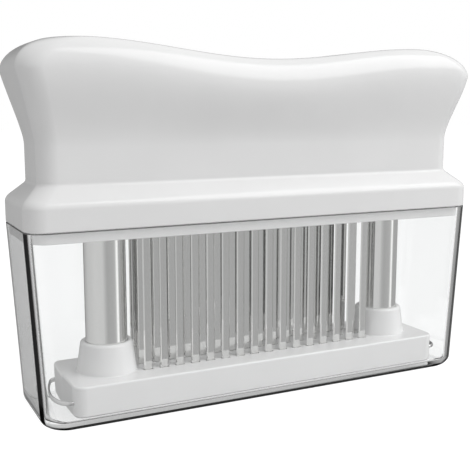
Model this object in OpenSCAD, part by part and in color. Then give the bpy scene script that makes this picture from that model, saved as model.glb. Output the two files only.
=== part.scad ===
// Blade meat tenderizer in its clear cover: rows of steel blades in a moulded handle, a sprung foot
// plate with slots that slides up the blades on two tubes, and a see-through cover over it all.
// Millimetres. X is the long side, -Y the front, +Z up. The origin is the centre of the cover's underside.

/* [Blades] */
// Blades in one row
blade_count = 16; // [12:1:18]
// Distance from one blade to the next in a row
blade_pitch = 5.0; // [4.6:0.1:5.6]
// Distance from one row of blades to the next
row_pitch = 6.0; // [5.4:0.1:6.4]
// Width of one blade
blade_w = 2.5; // [2.1:0.1:2.9]
// Thickness of one blade
blade_t = 0.8; // [0.6:0.05:1.0]
// Width of the ground edge down each side of a blade
blade_edge_w = 0.3; // [0.2:0.05:0.5]
// Rise of the slanted tip from one side of a blade to the other
tip_rise = 3.0; // [2:0.5:4]
// Length of the grind behind the tip's edge
tip_grind = 1.6; // [1:0.2:2.4]
// Height of the tips above the foot plate's underside
tip_inset = 1.4; // [0.8:0.2:2.4]
// Length of a blade that its holder grips
blade_grip = 10.9; // [9:0.1:12]
// How far a blade's head stands out at each side of the blade
head_side = 0.5; // [0.3:0.05:0.6]
// Height of a blade's head
head_h = 2.0; // [1.5:0.1:3]

/* [Blade holders] */
// Thickness of the cap strip that closes a holder bar over the blades' heads
cap_h = 2.0; // [1.6:0.1:2.6]
// Gap between the blades' heads and the cap strip
cap_gap = 0.1; // [0.05:0.05:0.2]
// Plastic past the last blade at each end of a bar
holder_end = 0.75; // [0.5:0.05:0.9]
// Gap between two neighbouring bars
holder_gap = 0.2; // [0.1:0.05:0.4]

/* [Foot plate] */
// Distance from the last blade's edge to the axis of the tube beside it
tube_gap = 9.25; // [9.2:0.05:11]
// Distance from a tube's axis to the plate's end
foot_end = 13.4; // [12.4:0.2:15]
// Distance from the outer blade rows to the plate's long sides
foot_side = 7.9; // [7.5:0.1:9]
// Thickness of the plate
foot_h = 9.1; // [8.8:0.1:11]
// Corner radius of the plate seen from above
foot_corner_r = 3.6; // [2.4:0.2:5]
// Rounding of the plate's top edge
foot_edge_r = 0.6; // [0.4:0.1:1]
// Chamfer of the plate's bottom edge
foot_chamfer = 0.8; // [0.6:0.1:1.2]
// Height of a boss round a tube
boss_h = 8.7; // [7:0.1:11]
// Radius of a boss where it leaves the plate
boss_base_r = 8.8; // [8.4:0.1:8.9]
// Radius of a boss at its top
boss_top_r = 7.65; // [7.2:0.05:8.2]
// Rounding of a boss's top edge
boss_lip_r = 0.9; // [0.5:0.1:1.0]
// Space that a slot leaves on each side of its blade
slot_gap = 0.2; // [0.15:0.05:0.22]

/* [Guide tubes] */
// Outside diameter of a tube
tube_d = 12.0; // [11.6:0.1:12.2]
// Wall of a tube
tube_wall = 1.0; // [0.8:0.1:1.2]
// How far a tube's head stands out round the tube
head_rim = 1.2; // [0.9:0.1:1.25]
// Thickness of a tube's head
head_t = 2.0; // [1.5:0.1:2.6]
// Travel of the foot plate up the blades
press_travel = 31.0; // [24:1:32]

/* [Springs] */
// Wire diameter of a spring
spring_wire = 1.1; // [0.9:0.05:1.2]
// Turns of a spring
spring_turns = 22; // [18:1:24]
// Space round a spring in its tube
spring_gap = 0.4; // [0.3:0.05:0.6]
// Depth of the handle's pocket over a tube's bore that takes the spring's end
spring_seat_h = 6.0; // [4:0.5:7]

/* [Collars] */
// How far a collar reaches past the middle of the clip's legs
collar_rim = 0.7; // [0.4:0.05:0.9]
// Width across the collar's two flats
collar_flat = 16.1; // [15:0.1:17]
// Height of a collar
collar_h = 6.0; // [5.6:0.1:6.3]
// Depth that a collar lies above the plate's underside
collar_recess = 0.3; // [0.2:0.05:0.4]
// Thickness of a collar below its tube
collar_floor = 2.6; // [2.0:0.1:3]
// Height of the spigot above the collar
spigot_h = 3.1; // [2:0.1:5]

/* [Wire clips] */
// Wire diameter of a clip
clip_wire = 1.2; // [1.0:0.05:1.3]
// Distance between a clip's two legs
clip_span = 22.0; // [21.6:0.1:22.6]
// Height of a clip above the plate's underside
clip_up = 4.2; // [4:0.05:4.4]
// How far a clip's bow stands out of the plate's end, to the wire's middle
clip_out = 4.7; // [4.5:0.1:4.9]
// Bend radius of the bow's corners, to the wire's middle
clip_bend_r = 4.4; // [3:0.1:4.5]
// Length of a leg inside the plate
clip_leg = 17.8; // [17:0.1:19]

/* [Base plate] */
// Height of the base plate, which plugs the cover's mouth
skirt_h = 3.4; // [3.2:0.1:4.6]
// Gap between the base plate and the cover's mouth
skirt_gap = 0.45; // [0.35:0.05:0.6]
// Corner radius of the base plate seen from above
skirt_corner_r = 4.0; // [3.8:0.1:6]
// Height of the guide bushes above the base plate
bush_h = 5.0; // [4:0.5:6]
// Distance from a tube's axis to the screws beside it
screw_out = 14.0; // [12.5:0.5:15]
// Distance between two screws across the plate
screw_span = 14.0; // [12:0.5:14.5]
// Diameter of a screw's shank
screw_d = 3.0; // [2.5:0.1:3.5]
// Diameter of a screw's head
screw_head_d = 5.6; // [5:0.1:6]
// Height of a screw's head
screw_head_h = 1.7; // [1.4:0.1:1.8]
// Length of a screw below its head
screw_len = 10.0; // [8:0.5:11]

/* [Handle] */
// Height of the handle above the cover's rim
handle_h = 50.5; // [50:0.5:58]
// Height of the upright sides of the shoulder
shoulder_side_h = 5.8; // [5:0.1:6.4]
// Height at which the shoulder's slope would meet its upright side
shoulder_edge_h = 7.0; // [6.8:0.1:7.4]
// Height at which the shoulder's slope meets the neck
shoulder_h = 11.6; // [11:0.1:12.6]
// How far the neck is drawn in at each end
neck_in_len = 5.0; // [3:0.2:6]
// How far the neck is drawn in at front and back
neck_in_depth = 5.2; // [4:0.1:5.4]
// Height at which the neck starts to flare
neck_h = 21.5; // [19:0.5:24]
// How far the flare runs out at each end
flare_len = 5.2; // [3:0.2:6]
// How far the flare runs out at front and back
flare_depth = 4.9; // [3:0.1:5.2]
// Height of the rounding over the crest
crest_round_h = 8.5; // [7:0.5:10]
// How far the crest's rounding draws in at each end
crest_in_len = 14.0; // [10:0.5:16]
// How far the crest's rounding draws in at front and back
crest_in_depth = 7.0; // [5:0.2:8]
// Depth of the dip in the middle of the crest
crest_dip = 4.4; // [2:0.2:5]
// Level stretch of the crest at each end
crest_flat = 3.2; // [1:0.2:6]
// Corner radius of the shoulder and the cover's rim, seen from above
rim_corner_r = 5.5; // [4.6:0.1:5.6]
// Corner radius of the neck
neck_corner_r = 5.0; // [4:0.2:7]
// Corner radius of the flare at its widest
flare_corner_r = 6.0; // [4:0.2:8]
// Corner radius at the top of the crest
crest_corner_r = 8.6; // [6:0.2:9]

/* [Cover] */
// Wall of the cover
cover_wall = 1.8; // [1.5:0.1:2]
// Floor of the cover
cover_floor = 2.4; // [2:0.1:3]
// Space between the foot plate and the cover's end walls
cover_end_gap = 6.8; // [6.4:0.1:9]
// Space between the foot plate and the cover's long walls
cover_side_gap = 0.4; // [0.35:0.05:1]
// Draft of each end wall, from bottom to rim
draft_len = 3.0; // [1:0.2:4]
// Draft of each long wall, from bottom to rim
draft_depth = 0.4; // [0.2:0.1:1]
// Corner radius of the cover near its bottom, seen from above
base_corner_r = 4.5; // [4:0.1:5]
// Rounding of the bottom edge along the length of the cover
base_round_len = 5.0; // [3:0.2:5.4]
// Rounding of the bottom edge across the cover
base_round_depth = 3.0; // [2:0.2:3.4]
// Height of the bottom edge's rounding
base_round_h = 3.5; // [2.5:0.1:4]
// Rounding of the bottom edge inside the cover
base_inner_r = 1.0; // [0.6:0.1:1.1]

/* [Fits] */
// Running clearance round a tube, a clip's wire or a screw
run_fit = 0.05; // [0.03:0.01:0.08]
// Clearance round a blade in its holder
blade_fit = 0.05; // [0.03:0.01:0.08]
// Clearance round a fixed piece in its pocket
seat_fit = 0.1; // [0.05:0.05:0.15]
// Clearance round a tube's head and a collar
loose_fit = 0.2; // [0.15:0.05:0.25]
// Gap between the foot plate and the cover's floor
rest_gap = 0.2; // [0.1:0.05:0.3]
// Gap left over the bosses at full travel
stop_gap = 0.2; // [0.1:0.05:0.4]
// Gap at each end of a spring
spring_end_gap = 0.1; // [0.05:0.05:0.2]

/* [Hidden] */
$fn = 48;

// Colours of the finishes
WHITE = [0.93, 0.93, 0.92];
INNER_WHITE = [0.86, 0.86, 0.85];
STEEL = [0.72, 0.73, 0.74];
CLEAR = [0.82, 0.88, 0.92, 0.35];

// A cut runs this far past the faces that it opens
over = 1;

// Steps of the lofted shells
corner_steps = 6;
side_steps = 12;
flare_steps = 7;
crest_steps = 7;
edge_steps = 4;
// Rings to a turn and sides of a spring's wire
turn_rings = 8;
wire_sides = 6;

// Lengthwise sizes, from the blades outwards
blades_half = (blade_count - 1) / 2 * blade_pitch + blade_w / 2;
tube_x = blades_half + tube_gap;
foot_half_len = tube_x + foot_end;
cover_base_half_len = foot_half_len + cover_end_gap + cover_wall;
rim_half_len = cover_base_half_len + draft_len;
neck_half_len = rim_half_len - neck_in_len;
flare_half_len = neck_half_len + flare_len;
crest_half_len = flare_half_len - crest_in_len;
wave_half_len = crest_half_len - crest_flat;
screw_x = tube_x + screw_out;

// Sizes across the tool
foot_half_depth = row_pitch + foot_side;
cover_base_half_depth = foot_half_depth + cover_side_gap + cover_wall;
rim_half_depth = cover_base_half_depth + draft_depth;
neck_half_depth = rim_half_depth - neck_in_depth;
flare_half_depth = neck_half_depth + flare_depth;
crest_half_depth = flare_half_depth - crest_in_depth;
skirt_half_len = rim_half_len - cover_wall - skirt_gap;
skirt_half_depth = rim_half_depth - cover_wall - skirt_gap;
holder_half_len = blades_half + holder_end;
holder_w = row_pitch - holder_gap;

// Heights, from the floor of the cover upwards
foot_z = cover_floor + rest_gap;
foot_top_z = foot_z + foot_h;
boss_top_z = foot_top_z + boss_h;
skirt_z = boss_top_z + press_travel + stop_gap;
rim_z = skirt_z + skirt_h;
bush_top_z = rim_z + bush_h;
head_top_z = bush_top_z + head_t;
head_bore_z = head_top_z + press_travel + over;
spring_top_z = head_bore_z + spring_seat_h;
crest_z = rim_z + handle_h;
flare_z = crest_z - crest_round_h;
tip_z = foot_z + tip_inset;
blade_top_z = rim_z + blade_grip;
head_z = blade_top_z - head_h;
holder_top_z = blade_top_z + cap_gap;
cap_top_z = holder_top_z + cap_h;

// Tubes, their collars and the springs inside them
tube_r = tube_d / 2;
tube_bore_r = tube_r - tube_wall;
guide_bore_r = tube_r + run_fit;
head_bore_r = tube_r + head_rim + loose_fit;
collar_z = foot_z + collar_recess;
collar_top_z = collar_z + collar_h;
pocket_top_z = collar_top_z + seat_fit;
tube_z = collar_z + collar_floor;
spigot_top_z = collar_top_z + spigot_h;
spring_r = tube_bore_r - spring_gap - spring_wire / 2;
spring_low_z = spigot_top_z + spring_end_gap + spring_wire / 2;
spring_high_z = spring_top_z - spring_end_gap - spring_wire / 2;
spring_len = spring_high_z - spring_low_z;
// Rise of the closed turn at each end of a spring
end_turn_rise = spring_wire + 0.5;
open_turn_rise = (spring_len - 2 * end_turn_rise) / (spring_turns - 2);

// Wire clips
clip_z = foot_z + clip_up;
clip_leg_y = clip_span / 2;
collar_r = clip_leg_y + collar_rim;
clip_bow_x = foot_half_len + clip_out;
clip_bend_x = clip_bow_x - clip_bend_r;
clip_tip_x = foot_half_len - clip_leg;
clip_hole_r = clip_wire / 2 + run_fit;

// Screws
screw_seat_z = rim_z - 1.4;
screw_head_r = screw_head_d / 2;
screw_point_h = screw_d / 2;
screw_tip_z = screw_seat_z + screw_len;

// ---- Outlines and lofts ----

function arc_points(cx, cy, r, from) = [
    for (i = [0:corner_steps])
        let (a = from + 90 * i / corner_steps)
            [cx + r * cos(a), cy + r * sin(a)]
];

function side_points(from_x, to_x, y, steps) = [
    for (i = [1:1:steps - 1]) [from_x + (to_x - from_x) * i / steps, y]
];

// Rounded rectangle seen from above, anticlockwise from the middle of its right end
function plan_points(half_x, half_y, r, steps) =
    let (cx = half_x - r, cy = half_y - r)
        concat(
            arc_points(cx, cy, r, 0),
            side_points(cx, -cx, half_y, steps),
            arc_points(-cx, cy, r, 90),
            arc_points(-cx, -cy, r, 180),
            side_points(-cx, cx, -half_y, steps),
            arc_points(cx, -cy, r, 270)
        );

// Faces of the wall between rings of n points each
function wall_faces(n, rings) = [
    for (k = [0:rings - 2])
        for (i = [0:n - 1])
            let (j = (i + 1) % n, a = k * n, b = (k + 1) * n)
                for (f = [[a + i, b + i, b + j], [a + i, b + j, a + j]]) f
];

// The crest's dip at a place along the handle
function dip(x) = abs(x) < wave_half_len ? crest_dip * (1 + cos(180 * x / wave_half_len)) / 2 : 0;

function ease(t) = t * t * (3 - 2 * t);

// Share of the flare's length reached at t: a soft start, then nearly straight
soft_start = 0.15;
function flare_share(t) =
    (sqrt(t * t + soft_start * soft_start) - soft_start)
    / (sqrt(1 + soft_start * soft_start) - soft_start);

function mix(a, b, t) = a + (b - a) * t;

// ---- Handle ----

// Each ring of the handle is [height, half length, half depth, corner radius, share of the dip]

// Upright side of the shoulder, its rounded edge and its slope to the neck
edge_slope_h = 1.1;
edge_share = edge_slope_h / (shoulder_h - shoulder_edge_h);
function shoulder_ring(t) =
    let (
        h = mix(mix(shoulder_side_h, shoulder_edge_h, t),
                mix(shoulder_edge_h, shoulder_edge_h + edge_slope_h, t), t),
        s = edge_share * t * t
    )
        [
            rim_z + h,
            rim_half_len - neck_in_len * s,
            rim_half_depth - neck_in_depth * s,
            mix(rim_corner_r, neck_corner_r, s),
            0
        ];

function flare_ring(t) = [
    mix(rim_z + neck_h, flare_z, t),
    neck_half_len + flare_len * flare_share(t),
    neck_half_depth + flare_depth * ease(t),
    mix(neck_corner_r, flare_corner_r, t),
    t
];

function crest_ring(a) = [
    flare_z + crest_round_h * sin(a),
    flare_half_len - crest_in_len * (1 - cos(a)),
    flare_half_depth - crest_in_depth * (1 - cos(a)),
    min(mix(flare_corner_r, crest_corner_r, sin(a)), crest_half_depth - 0.3),
    1
];

handle_rings = concat(
    [[rim_z, rim_half_len, rim_half_depth, rim_corner_r, 0]],
    [for (i = [0:edge_steps]) shoulder_ring(i / edge_steps)],
    [[rim_z + shoulder_h, neck_half_len, neck_half_depth, neck_corner_r, 0]],
    [for (i = [0:flare_steps]) flare_ring(i / flare_steps)],
    [for (i = [1:crest_steps]) crest_ring(90 * i / crest_steps)]
);

module handle_shell() {
    plans = [for (r = handle_rings) plan_points(r[1], r[2], r[3], side_steps)];
    n = len(plans[0]);
    rings = len(handle_rings);
    points = [
        for (k = [0:rings - 1])
            for (p = plans[k]) [p.x, p.y, handle_rings[k][0] - handle_rings[k][4] * dip(p.x)]
    ];
    underside = [for (i = [0:n - 1]) i];
    last = (rings - 1) * n;
    crest = [
        for (i = [0:n / 2 - 2])
            let (back = last + i, front = last + n - 1 - i)
                for (f = [[back, front, front - 1], [back, front - 1, back + 1]]) f
    ];
    polyhedron(points, concat([underside], wall_faces(n, rings), crest), convexity = 4);
}

module handle_body() {
    color(WHITE) difference() {
        handle_shell();
        // Room for the blade holders
        translate([0, 0, rim_z - over])
            centred_block(
                holder_half_len + seat_fit,
                row_pitch + holder_w / 2 + seat_fit,
                cap_top_z - rim_z + seat_fit + over
            );
        for (side = [-1, 1]) {
            // Bore for the guide bush and the tube's head, with the spring's seat above it
            translate([side * tube_x, 0, rim_z - over])
                cylinder(r = head_bore_r, h = head_bore_z - rim_z + over);
            translate([side * tube_x, 0, head_bore_z - over])
                cylinder(r = tube_bore_r - spring_gap + seat_fit, h = spring_seat_h + over);
            // Holes for the screws
            for (across = [-1, 1])
                translate([side * screw_x, across * screw_span / 2, rim_z - over])
                    cylinder(r = screw_d / 2 + run_fit, h = screw_tip_z - rim_z + 0.5 + over);
        }
    }
}

// A block of two half sizes and a height that stands on its origin
module centred_block(half_x, half_y, h) {
    translate([-half_x, -half_y, 0])
        cube([2 * half_x, 2 * half_y, h]);
}

// ---- Base plate and its screws ----

module rounded_plate(half_x, half_y, r, h) {
    linear_extrude(h) {
        square([2 * half_x, 2 * (half_y - r)], center = true);
        square([2 * (half_x - r), 2 * half_y], center = true);
        for (sx = [-1, 1])
            for (sy = [-1, 1])
                translate([sx * (half_x - r), sy * (half_y - r)])
                    circle(r);
    }
}

module base_plate() {
    color(WHITE) difference() {
        union() {
            translate([0, 0, skirt_z])
                rounded_plate(skirt_half_len, skirt_half_depth, skirt_corner_r, skirt_h);
            for (side = [-1, 1])
                translate([side * tube_x, 0, skirt_z])
                    cylinder(r = head_bore_r - run_fit, h = bush_top_z - skirt_z);
        }
        for (side = [-1, 1]) {
            translate([side * tube_x, 0, skirt_z - over])
                cylinder(r = guide_bore_r, h = bush_top_z - skirt_z + 2 * over);
            for (across = [-1, 1])
                translate([side * screw_x, across * screw_span / 2, 0]) {
                    translate([0, 0, skirt_z - over])
                        cylinder(r = screw_d / 2 + loose_fit, h = skirt_h + 2 * over);
                    translate([0, 0, skirt_z - over])
                        cylinder(r = screw_head_r + loose_fit, h = screw_seat_z - skirt_z + over);
                }
        }
        // One long opening for each row of blades
        for (row = [-1:1])
            translate([0, row * row_pitch, skirt_z - over])
                centred_block(blades_half + slot_gap, blade_t / 2 + slot_gap, skirt_h + 2 * over);
    }
}

module screw() {
    dome = screw_head_h / 3;
    rotate_extrude()
        polygon([
            [0, screw_seat_z - screw_head_h],
            [screw_head_r * 0.6, screw_seat_z - screw_head_h + dome / 4],
            [screw_head_r, screw_seat_z - screw_head_h + dome],
            [screw_head_r, screw_seat_z],
            [screw_d / 2, screw_seat_z],
            [screw_d / 2, screw_tip_z - screw_point_h],
            [0, screw_tip_z]
        ]);
}

module base_screws() {
    color(STEEL)
        for (side = [-1, 1])
            for (across = [-1, 1])
                translate([side * screw_x, across * screw_span / 2, 0])
                    screw();
}

// ---- Blades, their holders and caps ----

function blade_x(i) = (i - (blade_count - 1) / 2) * blade_pitch;

module blade_holder(row) {
    color(INNER_WHITE) translate([0, row * row_pitch, 0]) difference() {
        translate([0, 0, rim_z])
            centred_block(holder_half_len, holder_w / 2, holder_top_z - rim_z);
        // One slot for each blade, wider at the top for its head
        for (i = [0:blade_count - 1])
            translate([blade_x(i), 0, 0]) {
                translate([0, 0, rim_z - over])
                    centred_block(
                        blade_w / 2 + blade_fit,
                        blade_t / 2 + blade_fit,
                        blade_grip + over
                    );
                translate([0, 0, head_z - blade_fit])
                    centred_block(
                        blade_w / 2 + head_side + blade_fit,
                        blade_t / 2 + blade_fit,
                        holder_top_z - head_z + over
                    );
            }
    }
}

// Cap strip on a holder bar, over the blades' heads
module blade_cap(row) {
    color(INNER_WHITE) translate([0, row * row_pitch, holder_top_z])
        centred_block(holder_half_len, holder_w / 2, cap_h);
}

// One blade: a flat strip with ground sides, cut to a slanted tip that is ground to an edge, with
// a wider head at its top by which it hangs in the holder bar
module blade() {
    half_w = blade_w / 2;
    half_t = blade_t / 2;
    flat = half_w - blade_edge_w;
    slant = atan(tip_rise / blade_w);
    reach = 2 * blade_top_z;
    edge_t = 0.06;
    wedge_t = blade_t;
    wedge_h = tip_grind * (wedge_t - edge_t) / (half_t - edge_t);
    intersection() {
        translate([0, 0, tip_z - over])
            linear_extrude(blade_top_z - tip_z + over)
                polygon([
                    [-half_w, 0],
                    [-flat, -half_t],
                    [flat, -half_t],
                    [half_w, 0],
                    [flat, half_t],
                    [-flat, half_t]
                ]);
        translate([half_w, 0, tip_z])
            rotate([0, slant, 0])
                translate([-reach / 2, 0, 0])
                    rotate([90, 0, 90])
                        linear_extrude(reach)
                            polygon([
                                [-edge_t, 0],
                                [edge_t, 0],
                                [wedge_t, wedge_h],
                                [wedge_t, reach],
                                [-wedge_t, reach],
                                [-wedge_t, wedge_h]
                            ]);
    }
    translate([0, 0, head_z])
        centred_block(half_w + head_side, half_t, head_h);
}

module blade_row(row) {
    color(STEEL)
        for (i = [0:blade_count - 1])
            translate([blade_x(i), row * row_pitch, 0])
                blade();
}

// ---- Foot plate ----

// Outline of a boss from its top's middle to its base, with a rounded lip
function boss_outline() =
    let (lip_x = boss_top_r - boss_lip_r, lip_z = boss_h - boss_lip_r)
        concat(
            [[0, -over], [boss_base_r, -over], [boss_base_r, 0]],
            [for (a = [0:15:90]) [lip_x + boss_lip_r * cos(a), lip_z + boss_lip_r * sin(a)]],
            [[0, boss_h]]
        );

module plate_layer(z, inset) {
    for (sx = [-1, 1])
        for (sy = [-1, 1])
            translate([
                sx * (foot_half_len - foot_corner_r),
                sy * (foot_half_depth - foot_corner_r),
                z
            ])
                cylinder(r = foot_corner_r - inset, h = 0.01, $fn = 32);
}

module foot_block() {
    hull() {
        plate_layer(foot_z, foot_chamfer);
        plate_layer(foot_z + foot_chamfer, 0);
        plate_layer(foot_top_z - foot_edge_r, 0);
        plate_layer(foot_top_z - foot_edge_r * 0.3, foot_edge_r * 0.3);
        plate_layer(foot_top_z - 0.01, foot_edge_r);
    }
}

// Round disc with two flats across X, as the collars and their pockets have
module two_flat_disc(r, flat, h) {
    intersection() {
        cylinder(r = r, h = h);
        translate([0, 0, -over])
            centred_block(flat / 2, r + over, h + 2 * over);
    }
}

module foot_plate() {
    color(WHITE) difference() {
        union() {
            foot_block();
            for (side = [-1, 1])
                translate([side * tube_x, 0, foot_top_z])
                    rotate_extrude()
                        polygon(boss_outline());
        }
        for (side = [-1, 1]) {
            translate([side * tube_x, 0, foot_z - over]) {
                cylinder(r = guide_bore_r, h = boss_top_z - foot_z + 2 * over);
                two_flat_disc(
                    collar_r + loose_fit,
                    collar_flat + 2 * loose_fit,
                    pocket_top_z - foot_z + over
                );
            }
            // Holes for the wire clip's legs
            for (across = [-1, 1])
                translate([side * (clip_tip_x - over), across * clip_leg_y, clip_z])
                    rotate([0, side * 90, 0])
                        cylinder(r = clip_hole_r, h = clip_leg + 2 * over);
        }
        // One slot for each blade
        for (row = [-1:1])
            for (i = [0:blade_count - 1])
                translate([blade_x(i), row * row_pitch, foot_z - over])
                    centred_block(
                        blade_w / 2 + slot_gap,
                        blade_t / 2 + slot_gap,
                        foot_h + 2 * over
                    );
    }
}

// ---- Guide tubes, collars and springs ----

module guide_tube(side) {
    color(STEEL) translate([side * tube_x, 0, 0]) difference() {
        union() {
            translate([0, 0, tube_z])
                cylinder(r = tube_r, h = head_top_z - tube_z);
            translate([0, 0, bush_top_z])
                cylinder(r = tube_r + head_rim, h = head_t);
        }
        translate([0, 0, tube_z - over])
            cylinder(r = tube_bore_r, h = head_top_z - tube_z + 2 * over);
    }
}

module tube_collar(side) {
    color(INNER_WHITE) translate([side * tube_x, 0, 0]) difference() {
        union() {
            difference() {
                translate([0, 0, collar_z])
                    two_flat_disc(collar_r, collar_flat, collar_h);
                // Seat of the tube's end
                translate([0, 0, tube_z])
                    cylinder(r = guide_bore_r, h = collar_h);
            }
            translate([0, 0, collar_z + collar_floor / 2])
                cylinder(r = tube_bore_r - run_fit, h = spigot_top_z - collar_z - collar_floor / 2);
        }
        // Grooves that the wire clip's legs run in
        for (across = [-1, 1])
            translate([0, across * (clip_leg_y - clip_hole_r + collar_r / 2), clip_z - clip_hole_r])
                centred_block(collar_r, collar_r / 2, 2 * clip_hole_r);
    }
}

// Height of a spring's wire after some turns: closed turns at the ends, open ones between
function spring_rise(turns) =
    turns < 1 ? end_turn_rise * turns
    : turns > spring_turns - 1 ? spring_len - end_turn_rise * (spring_turns - turns)
    : end_turn_rise + open_turn_rise * (turns - 1);

spring_path = [
    for (i = [0:spring_turns * turn_rings])
        let (a = 360 * i / turn_rings)
            [spring_r * cos(a), spring_r * sin(a), spring_low_z + spring_rise(i / turn_rings)]
];

// Least gap between neighbouring turns of a spring, from its path's points
spring_least_gap = min([
    for (i = [0:len(spring_path) - 1])
        for (k = [turn_rings / 2 + 1:turn_rings * 3 / 2])
            if (i + k < len(spring_path)) norm(spring_path[i + k] - spring_path[i]) - spring_wire
]);
echo(spring_least_gap = spring_least_gap);

module spring(side) {
    rings = len(spring_path);
    points = [
        for (i = [0:rings - 1])
            let (a = 360 * i / turn_rings)
                for (j = [0:wire_sides - 1])
                    let (
                        b = 360 * j / wire_sides,
                        out = spring_wire / 2 * cos(b),
                        up = -spring_wire / 2 * sin(b)
                    )
                        spring_path[i] + [out * cos(a), out * sin(a), up]
    ];
    first = [for (j = [0:wire_sides - 1]) j];
    last = [for (j = [0:wire_sides - 1]) rings * wire_sides - 1 - j];
    color(STEEL) translate([side * tube_x, 0, 0])
        polyhedron(points, concat([first], wall_faces(wire_sides, rings), [last]), convexity = 10);
}

// ---- Wire clips ----

// A wide bow out of the plate's end with two straight legs that go back into it
module wire_clip(side) {
    color(STEEL) mirror([side < 0 ? 1 : 0, 0, 0]) translate([0, 0, clip_z]) {
        for (across = [-1, 1]) {
            translate([clip_tip_x, across * clip_leg_y, 0])
                rotate([0, 90, 0])
                    cylinder(d = clip_wire, h = clip_bend_x - clip_tip_x);
            translate([clip_bend_x, across * (clip_leg_y - clip_bend_r), 0])
                rotate([0, 0, across > 0 ? 0 : -90])
                    rotate_extrude(angle = 90)
                        translate([clip_bend_r, 0])
                            circle(d = clip_wire);
        }
        translate([clip_bow_x, -(clip_leg_y - clip_bend_r), 0])
            rotate([-90, 0, 0])
                cylinder(d = clip_wire, h = 2 * (clip_leg_y - clip_bend_r));
    }
}

// ---- Cover ----

// Each ring of the cover is [height, half length, half depth, corner radius]

// Outside at height z, above the rounding of the bottom edge
function outer_ring(z) =
    let (t = z / rim_z)
        [
            z,
            cover_base_half_len + draft_len * t,
            cover_base_half_depth + draft_depth * t,
            mix(base_corner_r, rim_corner_r, t)
        ];

// Outside of the rounded bottom edge, from a = 90 at the underside to a = 0 at its top
function outer_base_ring(a) =
    let (side = outer_ring(base_round_h * (1 - sin(a))), in = 1 - cos(a))
        [
            side[0],
            side[1] - base_round_len * in,
            side[2] - base_round_depth * in,
            side[3] - base_round_depth * in * 0.7
        ];

function inner_ring(z, in) =
    let (side = outer_ring(z))
        [z, side[1] - cover_wall - in, side[2] - cover_wall - in, side[3] - cover_wall - in * 0.7];

cover_rings = concat(
    [for (i = [0:edge_steps]) outer_base_ring(90 * (1 - i / edge_steps))],
    [outer_ring(rim_z), inner_ring(rim_z, 0)],
    [
        for (i = [0:edge_steps])
            let (a = 90 * i / edge_steps)
                inner_ring(cover_floor + base_inner_r * (1 - sin(a)), base_inner_r * (1 - cos(a)))
    ]
);

module clear_cover() {
    plans = [for (r = cover_rings) plan_points(r[1], r[2], r[3], 1)];
    n = len(plans[0]);
    rings = len(cover_rings);
    points = [for (k = [0:rings - 1]) for (p = plans[k]) [p.x, p.y, cover_rings[k][0]]];
    underside = [for (i = [0:n - 1]) i];
    floor_top = [for (i = [0:n - 1]) rings * n - 1 - i];
    color(CLEAR)
        polyhedron(points, concat([underside], wall_faces(n, rings), [floor_top]), convexity = 6);
}

handle_body();
base_plate();
base_screws();
blade_holder(-1);  // blade_holder_front
blade_holder(0);  // blade_holder_middle
blade_holder(1);  // blade_holder_rear
blade_row(-1);  // blades_front
blade_row(0);  // blades_middle
blade_row(1);  // blades_rear
blade_cap(-1);  // blade_cap_front
blade_cap(0);  // blade_cap_middle
blade_cap(1);  // blade_cap_rear
foot_plate();
guide_tube(-1);  // guide_tube_left
guide_tube(1);  // guide_tube_right
tube_collar(-1);  // tube_collar_left
tube_collar(1);  // tube_collar_right
spring(-1);  // spring_left
spring(1);  // spring_right
wire_clip(-1);  // wire_clip_left
wire_clip(1);  // wire_clip_right
clear_cover();
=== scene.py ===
"""Blade meat tenderizer in its clear cover, dressed over its packed frame.

Everything is in metres, in the frame's own axes: X along the tool, -Y to the front, +Z up.
"""

import math

import bmesh
import bpy
from bpy.props import FloatProperty, FloatVectorProperty, IntProperty, PointerProperty
from bpy.types import Operator, Panel, PropertyGroup
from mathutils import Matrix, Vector


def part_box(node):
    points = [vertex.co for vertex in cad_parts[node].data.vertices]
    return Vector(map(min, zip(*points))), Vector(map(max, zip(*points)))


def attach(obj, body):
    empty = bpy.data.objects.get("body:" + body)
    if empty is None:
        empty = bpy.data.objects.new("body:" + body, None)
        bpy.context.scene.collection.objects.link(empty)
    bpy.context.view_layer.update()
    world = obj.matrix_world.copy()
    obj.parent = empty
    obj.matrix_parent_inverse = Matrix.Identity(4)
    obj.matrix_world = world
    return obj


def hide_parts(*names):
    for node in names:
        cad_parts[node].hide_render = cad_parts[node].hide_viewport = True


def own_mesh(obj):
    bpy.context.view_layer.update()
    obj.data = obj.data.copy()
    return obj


bl_info = {
    "name": "Blade Meat Tenderizer",
    "version": (1, 0, 0),
    "blender": (4, 5, 0),
    "location": "3D View > Sidebar > Tenderizer",
    "description": "Builds the looks of a blade meat tenderizer and its clear cover",
    "category": "Object",
}

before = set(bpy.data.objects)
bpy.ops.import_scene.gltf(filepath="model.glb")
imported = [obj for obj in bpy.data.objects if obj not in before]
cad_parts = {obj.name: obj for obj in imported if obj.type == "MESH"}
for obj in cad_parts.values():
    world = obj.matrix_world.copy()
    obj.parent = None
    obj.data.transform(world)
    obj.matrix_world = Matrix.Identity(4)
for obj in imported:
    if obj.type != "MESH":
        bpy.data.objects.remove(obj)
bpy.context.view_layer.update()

HANDLE_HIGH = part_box("handle_body")[1]
PLATE_LOW, PLATE_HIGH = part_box("base_plate")
FOOT_LOW, FOOT_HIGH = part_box("foot_plate")
BLADES_LOW, BLADES_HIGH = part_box("blades_front")
REAR_LOW, REAR_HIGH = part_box("blades_rear")
HOLDER_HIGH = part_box("blade_holder_front")[1]
CAP_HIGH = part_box("blade_cap_rear")[1]
TUBE_LOW, TUBE_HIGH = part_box("guide_tube_right")
COLLAR_LOW, COLLAR_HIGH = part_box("tube_collar_right")
SPRING_LOW, SPRING_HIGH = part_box("spring_right")
CLIP_LOW, CLIP_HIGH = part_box("wire_clip_right")
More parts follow.
